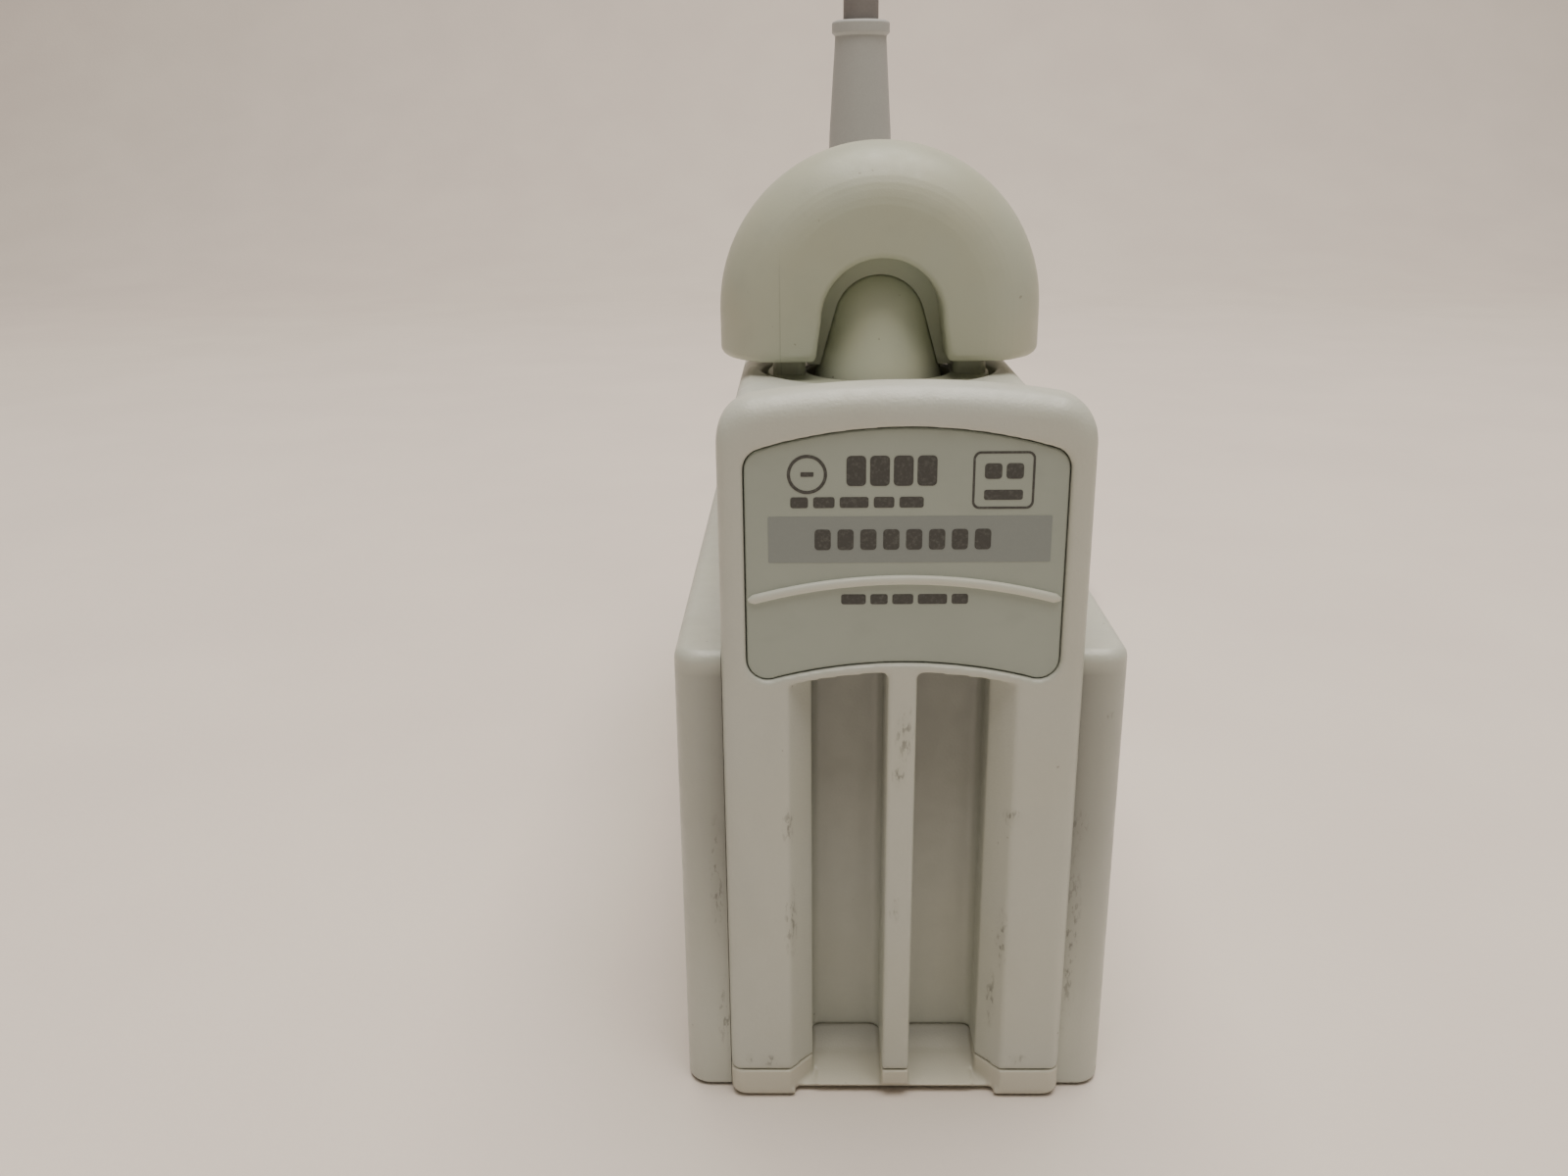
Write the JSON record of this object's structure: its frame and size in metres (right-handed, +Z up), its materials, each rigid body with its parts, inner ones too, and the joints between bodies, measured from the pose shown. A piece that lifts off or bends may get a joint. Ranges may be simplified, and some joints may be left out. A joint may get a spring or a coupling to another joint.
{
  "type": "ultrasound transducer connector",
  "caption": "Tall moulded connector block with label panel, guide rails and a horseshoe turn-to-lock handle, on a coiled cable with a small scan head.",
  "frame": {"origin": "centre of the connector's footprint on the surface it stands on, below its plane of symmetry", "axes": "+Z up, +X to the right seen from the narrow labelled face, which looks along -Y; Y is the connector's length"},
  "size_m": [0.0924, 0.2486, 0.1812],
  "materials": {
    "housing": "fine textured off-white moulded plastic",
    "handle": "yellowed beige moulded plastic",
    "base": "yellowish moulded plastic",
    "label": "smooth warm grey panel",
    "boot": "soft grey-mauve rubber",
    "cable": "dark satin cable jacket",
    "steel": "machined",
    "aluminium": "satin",
    "brass": "machined",
    "gold": "gold-plated contacts",
    "board": "green circuit board",
    "flex": "amber flexible circuit",
    "insulator": "black moulded insulator",
    "gasket": "black seal",
    "lens": "smooth dark silicone",
    "strap": "black hook-and-loop strap"
  },
  "bodies": {
    "housing": {"base_frame": "base", "base_screw_front_left": "steel", "base_screw_front_right": "steel", "base_screw_rear_left": "steel", "base_screw_rear_right": "steel", "board_connector_left": "insulator", "board_connector_right": "insulator", "cable_clamp_front": "insulator", "cable_clamp_rear": "insulator", "cable_coil": "cable", "cable_gland": "boot", "cable_inner_end": "cable", "cable_lead": "cable", "cable_tail": "cable", "chassis_plate": "aluminium", "coil_tie": "strap", "detent_leaf": "steel", "face_gasket": "gasket", "front_end_cap": "housing", "gland_nut": "brass", "grip_shell": "housing", "guide_post_front": "steel", "guide_post_rear": "steel", "label_plate": "label", "lower_bushing": "brass", "lower_shell": "housing", "main_board_left": "board", "main_board_right": "board", "rear_end_cap": "housing", "rear_plate": "label", "scan_head_boot": "boot", "scan_head_lens": "lens", "scan_head_shell_lower": "housing", "scan_head_shell_upper": "housing", "shield_can_left": "steel", "shield_can_right": "steel", "standoff_front_left": "steel", "standoff_front_right": "steel", "standoff_rear_left": "steel", "standoff_rear_right": "steel", "strain_relief_boot": "boot", "upper_bushing": "brass"},
    "latch": {"latch_handle": "handle", "latch_hub": "handle", "latch_shaft": "steel", "latch_key": "steel", "cam_collar": "brass", "retaining_ring": "steel"},
    "carrier": {"contact_block": "insulator", "pressure_plate": "aluminium", "contact_strip_left": "gold", "contact_strip_right": "gold", "flex_circuit_left": "flex", "flex_circuit_right": "flex"}
  },
  "joints": [
    {"name": "latch_turn", "type": "hinge", "parent": "housing", "child": "latch", "pos_m": [0, -0.015, 0.074], "axis": [0, 0, 1], "range_deg": [0, 90]},
    {"name": "carrier_slide", "type": "slide", "parent": "housing", "child": "carrier", "axis": [0, 0, -1], "range_m": [0, 0.002]}
  ],
  "couplings": [
    {"joint": "carrier_slide", "follows": "latch_turn", "m_per_rad": 0.0012732}
  ]
}
